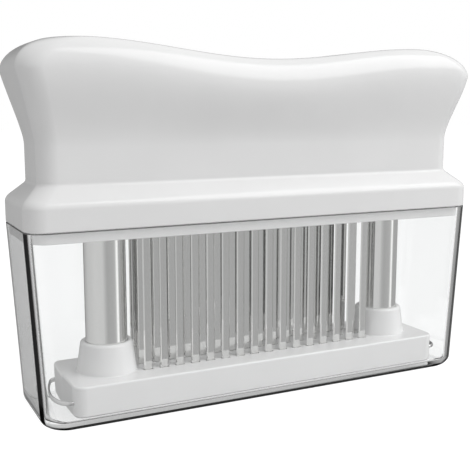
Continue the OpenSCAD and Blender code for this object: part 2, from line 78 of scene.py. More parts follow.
CLIP_Z = (CLIP_LOW.z + CLIP_HIGH.z) / 2
RIM_X, RIM_Y, RIM_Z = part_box("clear_cover")[1]
SCREWS_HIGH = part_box("base_screws")[1]

SIDES = (-1, 1)
NAMED_SIDES = (("left", -1), ("right", 1))
ROWS = (-1, 0, 1)
NAMED_ROWS = ("front", "middle", "rear")
TUBE_X = (TUBE_LOW.x + TUBE_HIGH.x) / 2
TUBE_R = 0.006
ROW_PITCH = ((REAR_LOW.y + REAR_HIGH.y) - (BLADES_LOW.y + BLADES_HIGH.y)) / 4
BLADE_W, BLADE_T, BLADE_HEAD_W = 0.0025, 0.0008, 0.0035
SCREW_R, SCREW_HEAD_R, SCREW_SEAT = 0.0015, 0.0028, RIM_Z - 0.0014
PRESS_TRAVEL = 0.031
FIT = 0.00005  # what a bore leaves round its pin
DOME = 0.6  # length of a wire's domed end, in radii
OVERRUN = 0.001  # how far a cutter stands out of what it cuts


# ---- Sizes and finishes that a user may change ----


def size(name, description, default):
    """A length in metres."""
    return FloatProperty(name=name, description=description, default=default, min=0.0,
                         precision=5, subtype="DISTANCE", unit="LENGTH")


def share(name, description, default):
    """A value from 0 to 1."""
    return FloatProperty(name=name, description=description, default=default, min=0.0, max=1.0,
                         subtype="FACTOR")


def tint(name, description, default):
    """A colour in linear values."""
    return FloatVectorProperty(name=name, description=description, default=default, min=0.0,
                               max=1.0, size=3, subtype="COLOR")


class TENDERIZER_PG_handle(PropertyGroup):
    """Sizes and finish of the handle"""
    shoulder_side_h: size("Shoulder side", "Height of the shoulder's upright sides", 0.0058)
    shoulder_edge_h: size("Shoulder edge", "Height where slope and side would meet", 0.0070)
    shoulder_h: size("Shoulder", "Height at which the slope meets the neck", 0.0116)
    neck_in_len: size("Neck in, ends", "How far the neck is drawn in at each end", 0.0050)
    neck_in_depth: size("Neck in, sides", "How far the neck is drawn in at the sides", 0.0052)
    neck_h: size("Neck", "Height at which the neck starts to flare", 0.0215)
    flare_len: size("Flare, ends", "How far the flare runs out at each end", 0.0052)
    flare_depth: size("Flare, sides", "How far the flare runs out at the sides", 0.0049)
    crest_round_h: size("Crest rounding", "Height of the rounding over the crest", 0.0085)
    crest_in_len: size("Crest in, ends", "How far the crest draws in at each end", 0.0140)
    crest_in_depth: size("Crest in, sides", "How far the crest draws in at the sides", 0.0070)
    crest_dip: size("Crest dip", "Depth of the dip in the middle of the crest", 0.0044)
    crest_flat: size("Crest level", "Level stretch of the crest at each end", 0.0032)
    rim_corner_r: size("Rim corner", "Corner radius of the shoulder from above", 0.0055)
    neck_corner_r: size("Neck corner", "Corner radius of the neck", 0.0050)
    flare_corner_r: size("Flare corner", "Corner radius of the flare", 0.0060)
    crest_corner_r: size("Crest corner", "Corner radius at the top of the crest", 0.0086)
    foot_r: size("Lower edge", "Rounding of the shoulder's lower edge", 0.00025)
    colour: tint("Colour", "Colour of the handle's plastic", (0.76, 0.76, 0.76))
    # lighter than the handle's plastic: painted light on the base plate, whose skirt sits in the
    # flange's shadow
    plate_lightened_colour: tint("Plate", "Colour of the base plate's plastic", (0.90, 0.90, 0.90))
    roughness: share("Roughness", "Roughness of the handle's skin", 0.17)


class TENDERIZER_PG_foot(PropertyGroup):
    """Sizes and finish of the foot plate"""
    plate_h: size("Plate", "Thickness of the plate", 0.0091)
    corner_r: size("Corner", "Corner radius of the plate from above", 0.0036)
    edge_r: size("Top edge", "Rounding of the plate's top edge", 0.0006)
    chamfer: size("Bottom edge", "Chamfer of the plate's bottom edge", 0.0008)
    boss_base_r: size("Boss base", "Radius of a boss where it leaves the plate", 0.0088)
    boss_top_r: size("Boss top", "Radius of a boss at its top", 0.00765)
    boss_lip_r: size("Boss lip", "Rounding of a boss's top edge", 0.0009)
    boss_fillet: size("Boss fillet", "Fillet between a boss and the plate", 0.0004)
    slot_gap: size("Slot gap", "Space that a slot leaves beside its blade", 0.0002)
    slot_mouth: size("Slot mouth", "Chamfer round a slot's mouth", 0.0001)
    colour: tint("Colour", "Colour of the foot plate's plastic", (0.855, 0.855, 0.855))
    roughness: share("Roughness", "Roughness of the foot plate's skin", 0.16)


class TENDERIZER_PG_metal(PropertyGroup):
    """Sizes and finishes of the steel pieces"""
    tube_wall: size("Tube wall", "Wall of a guide tube", 0.0010)
    head_t: size("Tube head", "Thickness of a tube's head", 0.0020)
    head_rim: size("Head rim", "How far a tube's head stands out", 0.0012)
    spring_wire: size("Spring wire", "Wire diameter of a spring", 0.0011)
    spring_turns: IntProperty(name="Spring turns", description="Turns of a spring",
                              default=22, min=4, max=40)
    clip_wire: size("Clip wire", "Wire diameter of a clip", 0.0012)
    clip_bend_r: size("Clip bend", "Bend radius of the bow's corners", 0.0030)
    clip_bend_turn: FloatProperty(name="Clip turn", description="Turn of each corner of the bow",
                                  default=math.radians(66), min=0.1, max=1.5, subtype="ANGLE",
                                  unit="ROTATION")
    screw_d: size("Screw", "Diameter of a screw's shank", 0.0030)
    screw_head_h: size("Screw head", "Height of a screw's head", 0.0017)
    blade_colour: tint("Blades", "Colour of the blades' steel", (0.83, 0.83, 0.82))
    tube_colour: tint("Tubes", "Colour of the tubes' steel", (0.90, 0.90, 0.89))
    wire_colour: tint("Wire", "Colour of the clips' wire", (0.76, 0.76, 0.76))


class TENDERIZER_PG_cover(PropertyGroup):
    """Sizes and finish of the clear cover"""
    wall: size("Wall", "Thickness of the wall", 0.0018)
    floor: size("Floor", "Thickness of the floor", 0.0024)
    draft_len: size("Draft, ends", "Draft of each end wall", 0.0030)
    draft_depth: size("Draft, sides", "Draft of each long wall", 0.0004)
    rim_corner_r: size("Rim corner", "Corner radius at the rim", 0.0055)
    base_corner_r: size("Base corner", "Corner radius near the bottom", 0.0060)
    base_round_len: size("Bottom rounding, length", "Rounding along the cover", 0.0050)
    base_round_depth: size("Bottom rounding, depth", "Rounding across the cover", 0.0030)
    base_round_h: size("Bottom rounding, height", "Height of the rounding", 0.0035)
    base_inner_r: size("Inner rounding", "Rounding of the bottom edge inside", 0.0010)
    end_inner_r: size("Inner rounding, ends", "Rounding inside at the end walls", 0.0034)
    rim_gap: size("Rim gap", "Seam left between the rim and the handle", 0.00015)
    rim_r: size("Rim edge", "Rounding of the rim's edges", 0.00025)
    # height of the painted dark line along the rim's edge
    painted_rim_line: size("Rim line", "Height of the dark line that the rim's edge makes", 0.00025)
    colour: tint("Colour", "Colour of the clear plastic", (0.955, 0.96, 0.96))
    # colour of the painted shade: the cover's dark strips, lines and bands stand in for dark
    # surroundings seen through its edges
    painted_edge_colour: tint("Edge colour", "Colour of the light-guiding edges", (0.001, 0.001, 0.001))


class TENDERIZER_PG_stage(PropertyGroup):
    """Light and camera"""
    key_power: FloatProperty(name="Key lamp", description="Power of the key lamp in watts",
                             default=3.2, min=0.0, subtype="POWER", unit="POWER")
    sky_left: FloatProperty(name="Sky, left", description="Strength of the soft light from -X",
                            default=0.50, min=0.0)
    sky_right: FloatProperty(name="Sky, right", description="Strength of the soft light from +X",
                             default=1.08, min=0.0)
    overhead: FloatProperty(name="Overhead", description="Light above, as a gloss mirrors it",
                            default=0.75, min=0.0)
    lens: FloatProperty(name="Lens", description="Focal length of the camera",
                        default=61.962, min=1.0, subtype="DISTANCE_CAMERA", unit="CAMERA")
    floor_colour: tint("Floor", "Colour of the floor", (0.60, 0.60, 0.60))


# ---- Mesh tools ----


def mix(a, b, t):
    return a + (b - a) * t


def ease(t):
    return t * t * (3 - 2 * t)


def arc(steps, start=0, end=90):
    """Pairs of sine and cosine at even steps of an angle in degrees."""
    angles = [math.radians(mix(start, end, i / steps)) for i in range(steps + 1)]
    return [(math.sin(a), math.cos(a)) for a in angles]


def plan(half_x, half_y, radius, corner, side):
    """Rounded rectangle from above, anticlockwise from the rear end of its right side."""
    points = []
    for quarter, (sx, sy) in enumerate(((1, 1), (-1, 1), (-1, -1), (1, -1))):
        cx, cy = sx * (half_x - radius), sy * (half_y - radius)
        points += rounded(cx, cy, radius, radius, 90 * quarter, 90 * quarter + 90, corner)
        if quarter in (0, 2):
            points += [(mix(cx, -cx, i / side), sy * half_y) for i in range(1, side)]
    return points


def rounded(radius, z, bend_x, bend_z, start, end, steps):
    """Points of an outline's rounded edge about (radius, z)."""
    return [(radius + bend_x * cosine, z + bend_z * sine)
            for sine, cosine in arc(steps, start, end)]


def circle(cx, cy, radius, steps):
    return rounded(cx, cy, radius, radius, 0, 360, steps)[:-1]


def rectangle(cx, cy, half_x, half_y):
    return [(cx + sx * half_x, cy + sy * half_y)
            for sx, sy in ((-1, -1), (1, -1), (1, 1), (-1, 1))]


def at_height(points, z):
    return [(x, y, z) for x, y in points]


def skin(bm, rings):
    """Quads between rings of as many points each; returns the rows of corners."""
    rows = [[bm.verts.new(point) for point in ring] for ring in rings]
    for low, high in zip(rows, rows[1:]):
        for i in range(len(low)):
            j = (i + 1) % len(low)
            bm.faces.new((low[i], low[j], high[j], high[i]))
    return rows


def solid(bm, rings):
    """A skin with flat ends."""
    rows = skin(bm, rings)
    bm.faces.new(rows[0][::-1])
    bm.faces.new(rows[-1])


def block(bm, cy, half_x, half_y, low, high):
    """A box over the middle of the tool's length, between two heights."""
    solid(bm, [at_height(rectangle(0, cy, half_x, half_y), z) for z in (low, high)])


def turn(bm, outline, cx, cy, steps, closed=False):
    """A turned form: an outline of (radius, height) round an upright axis."""
    rows = []
    for radius, z in outline:
        points = circle(cx, cy, radius, steps) if radius else [(cx, cy)]
        rows.append([bm.verts.new(point) for point in at_height(points, z)])
    if closed:
        rows.append(rows[0])
    for low, high in zip(rows, rows[1:]):
        for i in range(steps):
            j = (i + 1) % steps
            corners = (low[i % len(low)], low[j % len(low)],
                       high[j % len(high)], high[i % len(high)])
            bm.faces.new(list(dict.fromkeys(corners)))


def drill(bm, outline, cx, cy, steps):
    """A turned solid, its outline closed on the axis at both ends."""
    turn(bm, [(0, outline[0][1]), *outline, (0, outline[-1][1])], cx, cy, steps)


def sweep(bm, path, radius, sides):
    """A round wire along a level path, with domed ends."""
    rings = []
    for k, point in enumerate(path):
        ahead = (path[min(k + 1, len(path) - 1)] - path[max(k - 1, 0)]).normalized()
        across = ahead.cross(Vector((0, 0, 1))).normalized()
        above = across.cross(ahead)
        rings.append((point, ahead, [point + u * across + v * above
                                     for u, v in circle(0, 0, radius, sides)]))
    lofted = [ring for _, _, ring in rings]
    for (point, ahead, ring), sign in ((rings[0], -1), (rings[-1], 1)):
        for sine, cosine in arc(3)[1:3]:
            push = ahead * sign * sine * radius * DOME
            dome = [point + (p - point) * cosine + push for p in ring]
            lofted.insert(0 if sign < 0 else len(lofted), dome)
    solid(bm, lofted)


def new_piece(name, bm):
    """An object from a finished mesh, with its normals outward."""
    bmesh.ops.recalc_face_normals(bm, faces=bm.faces)
    mesh = bpy.data.meshes.new(name)
    bm.to_mesh(mesh)
    bm.free()
    piece = bpy.data.objects.new(name, mesh)
    bpy.context.scene.collection.objects.link(piece)
    return piece


def cut(piece, cutter):
    """Takes the cutter's solids out of a piece."""
    tool = new_piece(piece.name + "_cutter", cutter)
    step = piece.modifiers.new("cut", "BOOLEAN")
    step.operation = "DIFFERENCE"
    step.solver = "EXACT"
    step.use_self = True
    step.object = tool
    shaped = piece.evaluated_get(bpy.context.evaluated_depsgraph_get())
    mesh = bpy.data.meshes.new_from_object(shaped)
    piece.modifiers.clear()
    spare = (piece.data, tool.data)
    piece.data = mesh
    mesh.name = piece.name
    bpy.data.objects.remove(tool)
    for old in spare:
        bpy.data.meshes.remove(old)


def soften(piece, angle=35):
    """Smooth shading that keeps edges sharper than the angle, and flat faces flat."""
    bm = bmesh.new()
    bm.from_mesh(piece.data)
    for face in bm.faces:
        face.smooth = True
    for edge in bm.edges:
        edge.smooth = edge.calc_face_angle(math.pi) < math.radians(angle)
    bm.to_mesh(piece.data)
    bm.free()
    flats = piece.modifiers.new("flat faces", "WEIGHTED_NORMAL")
    flats.keep_sharp = True


def dress(piece, material, slot, body, *nodes):
    """Gives a piece its finish and its body, and hides the nodes that it stands for; its slot is
    not used.
    """
    piece.data.materials.clear()
    piece.data.materials.append(material)
    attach(piece, body)
    if nodes:
        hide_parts(*nodes)


def finish_node(name, material, angle=35):
    """Gives a CAD node its finish and smooth shading on its curved faces."""
    piece = bpy.data.objects.get(name)
    if piece is None:
        raise RuntimeError("the frame has no node " + name)
    for place in piece.material_slots:
        place.material = material
    if not piece.material_slots:
        piece.data.materials.append(material)
    for face in piece.data.polygons:
        face.use_smooth = True
    by_angle = piece.data.attributes.get("sharp_edge")
    if by_angle is None:
        by_angle = piece.data.attributes.new("sharp_edge", "BOOLEAN", "EDGE")
    bm = bmesh.new()
    bm.from_mesh(piece.data)
    sharp = [edge.calc_face_angle(math.pi) > math.radians(angle) for edge in bm.edges]
    bm.free()
    by_angle.data.foreach_set("value", sharp)


# ---- Material tools ----


def set_inputs(tree, node, *values, **named):
    """Sets or links a node's inputs, in order or by name with an underscore for each space."""
    for place, value in [*enumerate(values), *named.items()]:
        socket = node.inputs[place if isinstance(place, int) else place.replace("_", " ")]
        if isinstance(value, bpy.types.Node):
            value = value.outputs[0]
        if isinstance(value, bpy.types.NodeSocket):
            tree.links.new(value, socket)
        else:
            socket.default_value = value
    return node


def add(tree, kind, *values, **named):
    """A new shader node with its inputs set or linked."""
    return set_inputs(tree, tree.nodes.new("ShaderNode" + kind), *values, **named)


def new_material(name):
    """A material with only its output and a Principled shader."""
    material = bpy.data.materials.new(name)
    material.use_nodes = True
    tree = material.node_tree
    tree.nodes.clear()
    shader = add(tree, "BsdfPrincipled")
    return material, tree, shader, add(tree, "OutputMaterial", shader)


def noise(tree, scale, detail=3.0, stretch=(1, 1, 1), rough=0.5):
    """Noise in the piece's own space, in cells to a metre."""
    place = add(tree, "Mapping", add(tree, "TexCoord").outputs["Object"], Scale=stretch)
    return add(tree, "TexNoise", place, Scale=scale, Detail=detail, Roughness=rough)


def between(tree, value, low, high, start=0.3, end=0.7):
    """A number that follows a pattern between two limits."""
    return add(tree, "MapRange", value, start, end, low, high)


def math_node(tree, operation, first, second):
    """The result of a sum on two values, each a socket, a node or a number."""
    step = add(tree, "Math", first, second)
    step.operation = operation
    return step


def mirrored(tree, path):
    """1 for a ray that a mirror or a gloss has sent on, 0 for any other."""
    return math_node(tree, "GREATER_THAN", path.outputs["Glossy Depth"], 0.5)


def ramp(tree, value, stops):
    """A colour that follows a value through stops of (position, colour)."""
    node = add(tree, "ValToRGB", value)
    elements = node.color_ramp.elements
    for end in (0, -1):
        elements[end].position, elements[end].color = stops[end][0], (*stops[end][1], 1)
    for position, colour in stops[1:-1]:
        elements.new(position).color = (*colour, 1)
    return node


def tones(tree, value, colour, change):
    """A colour that a pattern makes darker and lighter by a share."""
    return ramp(tree, value, ((0.3, [c * (1 - change) for c in colour]),
                              (0.7, [min(1, c * (1 + change)) for c in colour])))


def relief(tree, value, strength, depth):
    """Bump from a pattern, its depth in metres."""
    return add(tree, "Bump", Strength=strength, Distance=depth, Height=value)


def moulded_plastic(name, colour, roughness, grain=0.05):
    """Moulded plastic: faint clouding, a fine matt grain and soft gloss."""
    material, tree, shader, _ = new_material(name)
    fine = noise(tree, 3200, 4)
    set_inputs(tree, shader, IOR=1.46,
               Base_Color=tones(tree, noise(tree, 60, 2), colour, 0.012),
               Roughness=between(tree, fine, roughness - 0.03, roughness + 0.03),
               Normal=relief(tree, fine, grain, 0.00004))
    return material


def drawn_steel(name, colour, roughness, stretch, change=0.06, grain=0.05):
    """Steel with fine lines along the way that it was ground or drawn."""
    material, tree, shader, _ = new_material(name)
    lines = noise(tree, 900, 5, stretch, 0.6)
    set_inputs(tree, shader, Metallic=1.0, Base_Color=tones(tree, lines, colour, change),
               Roughness=between(tree, lines, roughness * 0.7, roughness * 1.3),
               Normal=relief(tree, lines, grain, 0.00003))
    return material


# ---- Handle ----


def handle_dip(x, sizes):
    """Depth of the crest's dip at a place along the handle."""
    crest = RIM_X - sizes.neck_in_len + sizes.flare_len - sizes.crest_in_len
    wave = crest - sizes.crest_flat
    if abs(x) >= wave:
        return 0.0
    return sizes.crest_dip * (1 + math.cos(math.pi * x / wave)) / 2


def shoulder_rings(sizes):
    """Rounded lower edge, upright side, rounded edge, slope and its joint with the neck."""
    side_h, edge_h, edge = sizes.shoulder_side_h, sizes.shoulder_edge_h, sizes.foot_r
    slope = sizes.shoulder_h - edge_h
    rise, turn_h = 0.0011, 0.0005

    def ring(h, s):
        """The ring at a height over the rim, where s is the share of the slope below it."""
        return (RIM_Z + h, RIM_X - sizes.neck_in_len * s, RIM_Y - sizes.neck_in_depth * s,
                mix(sizes.rim_corner_r, sizes.neck_corner_r, s), 0)

    rings = []
    for sine, cosine in arc(3):
        out = edge * (1 - sine)
        rings.append((RIM_Z + edge * (1 - cosine), RIM_X - out, RIM_Y - out,
                      sizes.rim_corner_r - out, 0))
    for i in range(9):
        t = i / 8
        h = mix(mix(side_h, edge_h, t), mix(edge_h, edge_h + rise, t), t)
        rings.append(ring(h, rise / slope * t * t))
    low = ring(sizes.shoulder_h - turn_h, 1 - turn_h / slope)
    corner = ring(sizes.shoulder_h, 1)
    high = (corner[0] + turn_h * 1.3,) + corner[1:]
    for i in range(5):
        t = i / 4
        rings.append([mix(mix(a, b, t), mix(b, c, t), t) for a, b, c in zip(low, corner, high)])
    return rings


def grip_rings(sizes):
    """The flare from the neck to the palm, and the rounding over the crest."""
    neck_x, neck_y = RIM_X - sizes.neck_in_len, RIM_Y - sizes.neck_in_depth
    flare_x, flare_y = neck_x + sizes.flare_len, neck_y + sizes.flare_depth
    flare_z = HANDLE_HIGH.z - sizes.crest_round_h
    soft = 0.15  # how gently the flare sets out
    rings = []
    for i in range(29):
        t = i / 28
        run = (math.hypot(t, soft) - soft) / (math.hypot(1, soft) - soft)
        rings.append((mix(RIM_Z + sizes.neck_h, flare_z, t), neck_x + sizes.flare_len * run,
                      neck_y + sizes.flare_depth * ease(t),
                      mix(sizes.neck_corner_r, sizes.flare_corner_r, t), t))
    for sine, cosine in arc(18)[1:]:
        radius = min(mix(sizes.flare_corner_r, sizes.crest_corner_r, sine),
                     flare_y - sizes.crest_in_depth - 0.0003)
        rings.append((flare_z + sizes.crest_round_h * sine,
                      flare_x - sizes.crest_in_len * (1 - cosine),
                      flare_y - sizes.crest_in_depth * (1 - cosine), radius, 1))
    return rings


def screw_places():
    """The middles of the four screws, from above."""
    x, y = SCREWS_HIGH.x - SCREW_HEAD_R, SCREWS_HIGH.y - SCREW_HEAD_R
    return [(sx * x, sy * y) for sx in SIDES for sy in SIDES]


def handle_cutter():
    """Cavity of the holders, bores of the tubes' heads, seats of the springs, screw holes."""
    bm = bmesh.new()
    under, gap = RIM_Z - OVERRUN, 0.0001
    block(bm, 0, HOLDER_HIGH.x + gap, CAP_HIGH.y + gap, under, CAP_HIGH.z + gap)
    head_r = (TUBE_HIGH.x - TUBE_LOW.x) / 2 + 0.0002
    bore_z = TUBE_HIGH.z + PRESS_TRAVEL + 0.001
    spring_r = (SPRING_HIGH.x - SPRING_LOW.x) / 2 + gap
    for side in SIDES:
        drill(bm, [(head_r, under), (head_r, bore_z), (spring_r, bore_z),
                   (spring_r, SPRING_HIGH.z + gap)], side * TUBE_X, 0, 48)
    for cx, cy in screw_places():
        drill(bm, [(SCREW_R + FIT, under), (SCREW_R + FIT, SCREWS_HIGH.z + 0.0005)], cx, cy, 20)
    return bm


class TENDERIZER_OT_handle(Operator):
    """Build the handle: sloped shoulder, drawn-in neck, swelling grip and dipped crest"""
    bl_idname = "tenderizer.handle"
    bl_label = "Handle"

    def execute(self, context):
        sizes = context.scene.tenderizer_handle
        rings = []
        for z, half_x, half_y, radius, dip in shoulder_rings(sizes) + grip_rings(sizes):
            points = plan(half_x, half_y, radius, 10, 64)
            rings.append([(x, y, z - dip * handle_dip(x, sizes)) for x, y in points])
        bm = bmesh.new()
        rows = skin(bm, rings)
        bm.faces.new(rows[0][::-1])
        top = rows[-1]
        count = len(top)
        for i in range(count // 2 - 1):
            bm.faces.new((top[i], top[i + 1], top[count - 2 - i], top[count - 1 - i]))
        piece = new_piece("handle_shell", bm)
        cut(piece, handle_cutter())
        soften(piece)
        skin_finish = moulded_plastic("handle plastic", sizes.colour, sizes.roughness)
        dress(piece, skin_finish, "white_plastic", "tool", "handle_body")
        return {"FINISHED"}


# ---- Base plate and its screws ----


class TENDERIZER_OT_base_plate(Operator):
    """Build the base plate that plugs the cover's mouth, with its bushes and blade openings"""
    bl_idname = "tenderizer.base_plate"
    bl_label = "Base plate"

    def execute(self, context):
        sizes = context.scene.tenderizer_handle
        low, high, edge, corner_r = PLATE_LOW.z, RIM_Z, 0.0004, 0.004
        bm = bmesh.new()
        rings = [(low + edge * (1 - cosine), edge * (1 - sine)) for sine, cosine in arc(4)]
        solid(bm, [at_height(plan(PLATE_HIGH.x - out, PLATE_HIGH.y - out, corner_r - out, 10, 1),
                             z) for z, out in rings + [(high, 0)]])
        piece = new_piece("base_plate_shell", bm)

        cutter = bmesh.new()
        under, over = low - OVERRUN, high + OVERRUN
        blades_half = BLADES_HIGH.x - (BLADE_HEAD_W - BLADE_W) / 2 + 0.0002
        for row in ROWS:
            block(cutter, row * ROW_PITCH, blades_half, BLADE_T / 2 + 0.0002, under, over)
        bore = TUBE_R + FIT
        for side in SIDES:
            drill(cutter, [(bore + 0.0013, under), (bore, low + 0.0003), (bore, over)],
                  side * TUBE_X, 0, 64)
        sunk_r, hole_r = SCREW_HEAD_R + 0.0002, SCREW_R + 0.0002
        for cx, cy in screw_places():
            drill(cutter, [(sunk_r, under), (sunk_r, SCREW_SEAT), (hole_r, SCREW_SEAT),
                           (hole_r, over)], cx, cy, 32)
        cut(piece, cutter)
        soften(piece)
        # the base plate's colour carries painted light
        finish = moulded_plastic("base plate plastic", sizes.plate_lightened_colour, sizes.roughness)
        dress(piece, finish, "white_plastic", "tool", "base_plate")

        bushes = bmesh.new()
        outer = PLATE_HIGH.z
        for side in SIDES:
            turn(bushes, [(bore, high), (0.0073, high), (0.0073, outer - 0.0003),
                          (0.0070, outer), (bore, outer)], side * TUBE_X, 0, 64, closed=True)
        guides = new_piece("guide_bushes", bushes)
        soften(guides)
        dress(guides, finish, "white_plastic", "tool")
        return {"FINISHED"}


class TENDERIZER_OT_screws(Operator):
    """Build the four screws with domed heads and cross recesses"""
    bl_idname = "tenderizer.screws"
    bl_label = "Screws"

    def execute(self, context):
        sizes = context.scene.tenderizer_metal
        head_h, shank = sizes.screw_head_h, sizes.screw_d / 2
        pitch, plain, point = 0.0009, 0.0008, 0.0025
        low = SCREW_SEAT - head_h
        outline = [(0, low)]
        outline += rounded(0, low + head_h / 2, SCREW_HEAD_R, head_h / 2, -90, 0, 8)[1:]
        outline += [(SCREW_HEAD_R, SCREW_SEAT), (shank, SCREW_SEAT)]
        for i in range(int((SCREWS_HIGH.z - SCREW_SEAT - point) / pitch)):
            z = SCREW_SEAT + plain + i * pitch
            outline += [(shank * 0.8, z), (shank, z + pitch / 2)]
        outline += [(shank * 0.8, SCREWS_HIGH.z - shank), (0, SCREWS_HIGH.z)]
        bm, cutter = bmesh.new(), bmesh.new()
        for cx, cy in screw_places():
            turn(bm, outline, cx, cy, 28)
            for long, wide in ((0.0015, 0.0003), (0.0003, 0.0015)):
                solid(cutter, [at_height(rectangle(cx, cy, long * part, wide * part), z)
                               for part, z in ((1, low - 0.0005), (0.6, low + 0.0010))])
        piece = new_piece("screws", bm)
        cut(piece, cutter)
        soften(piece, 30)
        finish = drawn_steel("screw steel", (0.45, 0.45, 0.46), 0.30, (1, 1, 1))
        dress(piece, finish, "screw_steel", "tool", "base_screws")
        return {"FINISHED"}


# ---- Blades and their holders ----


class TENDERIZER_OT_holders(Operator):
    """Finish the holder bars and the cap strips over the blades' heads"""
    bl_idname = "tenderizer.holders"
    bl_label = "Blade holders"

    def execute(self, context):
        bar = moulded_plastic("holder plastic", (0.62, 0.62, 0.61), 0.50, 0.08)
        strip = moulded_plastic("cap plastic", (0.58, 0.58, 0.57), 0.48, 0.08)
        for row in NAMED_ROWS:
            finish_node("blade_holder_" + row, bar)
            finish_node("blade_cap_" + row, strip)
        return {"FINISHED"}


class TENDERIZER_OT_blades(Operator):
    """Finish the three rows of ground steel blades"""
    bl_idname = "tenderizer.blades"
    bl_label = "Blades"

    def execute(self, context):
        sizes = context.scene.tenderizer_metal
        steel = drawn_steel("blade steel", sizes.blade_colour, 0.06, (1, 1, 0.02), 0.012, 0.004)
        for row in NAMED_ROWS:
            finish_node("blades_" + row, steel, 12)
        return {"FINISHED"}


# ---- Foot plate ----


def plate_rings(sizes, top):
    """Heights and insets of the plate's outline, from its chamfer to its rounded top edge."""
    edge = sizes.edge_r
    rings = [(FOOT_LOW.z, sizes.chamfer), (FOOT_LOW.z + sizes.chamfer, 0), (top - edge, 0)]
    return rings + [(top - edge * (1 - sine), edge * (1 - cosine)) for sine, cosine in arc(5)[1:]]


def foot_cutter(sizes, top):
    """Slots of the blades, bores and pockets of the tubes and collars, holes of the clips."""
    bm = bmesh.new()
    under = FOOT_LOW.z - OVERRUN
    pitch = (BLADES_HIGH.x - BLADES_LOW.x - BLADE_HEAD_W) / 15
    half_x, half_y = BLADE_W / 2 + sizes.slot_gap, BLADE_T / 2 + sizes.slot_gap
    mouth = sizes.slot_mouth
    levels = ((under, mouth + OVERRUN), (FOOT_LOW.z + mouth, 0), (top - mouth, 0),
              (top + OVERRUN, mouth + OVERRUN))
    for row in ROWS:
        for i in range(16):
            cx, cy = (i - 7.5) * pitch, row * ROW_PITCH
            solid(bm, [at_height(rectangle(cx, cy, half_x + grow, half_y + grow), z)
                       for z, grow in levels])

    bore = TUBE_R + FIT
    reach, flat = COLLAR_HIGH.y + 0.0002, (COLLAR_HIGH.x - COLLAR_LOW.x) / 2 + 0.0002
    pocket_z = COLLAR_LOW.z + 0.0061
    meet = math.degrees(math.acos(flat / reach))
    hole = (CLIP_HIGH.z - CLIP_LOW.z) / 2 + FIT
    for side in SIDES:
        cx = side * TUBE_X
        drill(bm, [(bore, under), (bore, FOOT_HIGH.z - 0.0003),
                   (bore + 0.0013, FOOT_HIGH.z + OVERRUN)], cx, 0, 64)
        outline = (rounded(cx, 0, reach, reach, meet, 180 - meet, 20)
                   + rounded(cx, 0, reach, reach, 180 + meet, 360 - meet, 20))
        solid(bm, [at_height(outline, z) for z in (under, pocket_z)])
        for across in SIDES:
            ring = circle(across * (CLIP_HIGH.y - hole + FIT), CLIP_Z, hole, 24)
            solid(bm, [[(side * x, y, z) for y, z in ring]
                       for x in (CLIP_LOW.x - OVERRUN, FOOT_HIGH.x + OVERRUN)])
    return bm


class TENDERIZER_OT_foot_plate(Operator):
    """Build the foot plate with its bosses, its 48 slots and the pockets under it"""
    bl_idname = "tenderizer.foot_plate"
    bl_label = "Foot plate"

    def execute(self, context):
        sizes = context.scene.tenderizer_foot
        top = FOOT_LOW.z + sizes.plate_h
        bm = bmesh.new()
        rows = skin(bm, [at_height(plan(FOOT_HIGH.x - inset, FOOT_HIGH.y - inset,
                                        sizes.corner_r - inset, 10, 1), z)
                         for z, inset in plate_rings(sizes, top)])
        bm.faces.new(rows[0][::-1])
        loops = [rows[-1]]
        lip, fillet = sizes.boss_lip_r, sizes.boss_fillet
        outline = [(sizes.boss_base_r + fillet * (1 - math.sin(a)),
                    top + fillet * (1 - math.cos(a)))
                   for a in map(math.radians, (0, 22, 45, 68, 90))]
        outline += rounded(sizes.boss_top_r - lip, FOOT_HIGH.z - lip, lip, lip, 3, 90, 7)
        outline.append((0, FOOT_HIGH.z))
        for side in SIDES:
            before = len(bm.verts)
            turn(bm, outline, side * TUBE_X, 0, 72)
            loops.append(list(bm.verts)[before:before + 72])
        edges = [bm.edges.get(ends) for loop in loops for ends in zip(loop, loop[1:] + loop[:1])]
        bmesh.ops.triangle_fill(bm, edges=edges, use_beauty=True, use_dissolve=True)
        piece = new_piece("foot_block", bm)
        cut(piece, foot_cutter(sizes, top))
        soften(piece)
        finish = moulded_plastic("foot plastic", sizes.colour, sizes.roughness, 0.04)
        dress(piece, finish, "foot_plastic", "foot", "foot_plate")
        return {"FINISHED"}


# ---- Guide tubes, collars and springs ----


class TENDERIZER_OT_tubes(Operator):
    """Build the two guide tubes with their flanged heads"""
    bl_idname = "tenderizer.tubes"
    bl_label = "Guide tubes"

    def execute(self, context):
        sizes = context.scene.tenderizer_metal
        steel = drawn_steel("tube steel", sizes.tube_colour, 0.12, (1, 1, 0.02), 0.012, 0.006)
        radius, edge = TUBE_R, 0.0002
        bore, head = radius - sizes.tube_wall, radius + sizes.head_rim
        low, high = TUBE_LOW.z, TUBE_HIGH.z
        seat = high - sizes.head_t
        outline = [(bore + edge, low), (radius - edge, low), (radius, low + edge), (radius, seat),
                   (head - edge, seat), (head, seat + edge), (head, high - edge),
                   (head - edge, high), (bore + edge, high), (bore, high - edge),
                   (bore, low + edge)]
        for name, side in NAMED_SIDES:
            bm = bmesh.new()
            turn(bm, outline, side * TUBE_X, 0, 72, closed=True)
            piece = new_piece("tube_" + name, bm)
            soften(piece)
            dress(piece, steel, "tube_steel", "foot", "guide_tube_" + name)
        return {"FINISHED"}


class TENDERIZER_OT_collars(Operator):
    """Finish the flat-sided collars under the tubes"""
    bl_idname = "tenderizer.collars"
    bl_label = "Collars"

    def execute(self, context):
        finish = moulded_plastic("collar plastic", (0.60, 0.60, 0.59), 0.45, 0.07)
        for name, _ in NAMED_SIDES:
            finish_node("tube_collar_" + name, finish)
        return {"FINISHED"}


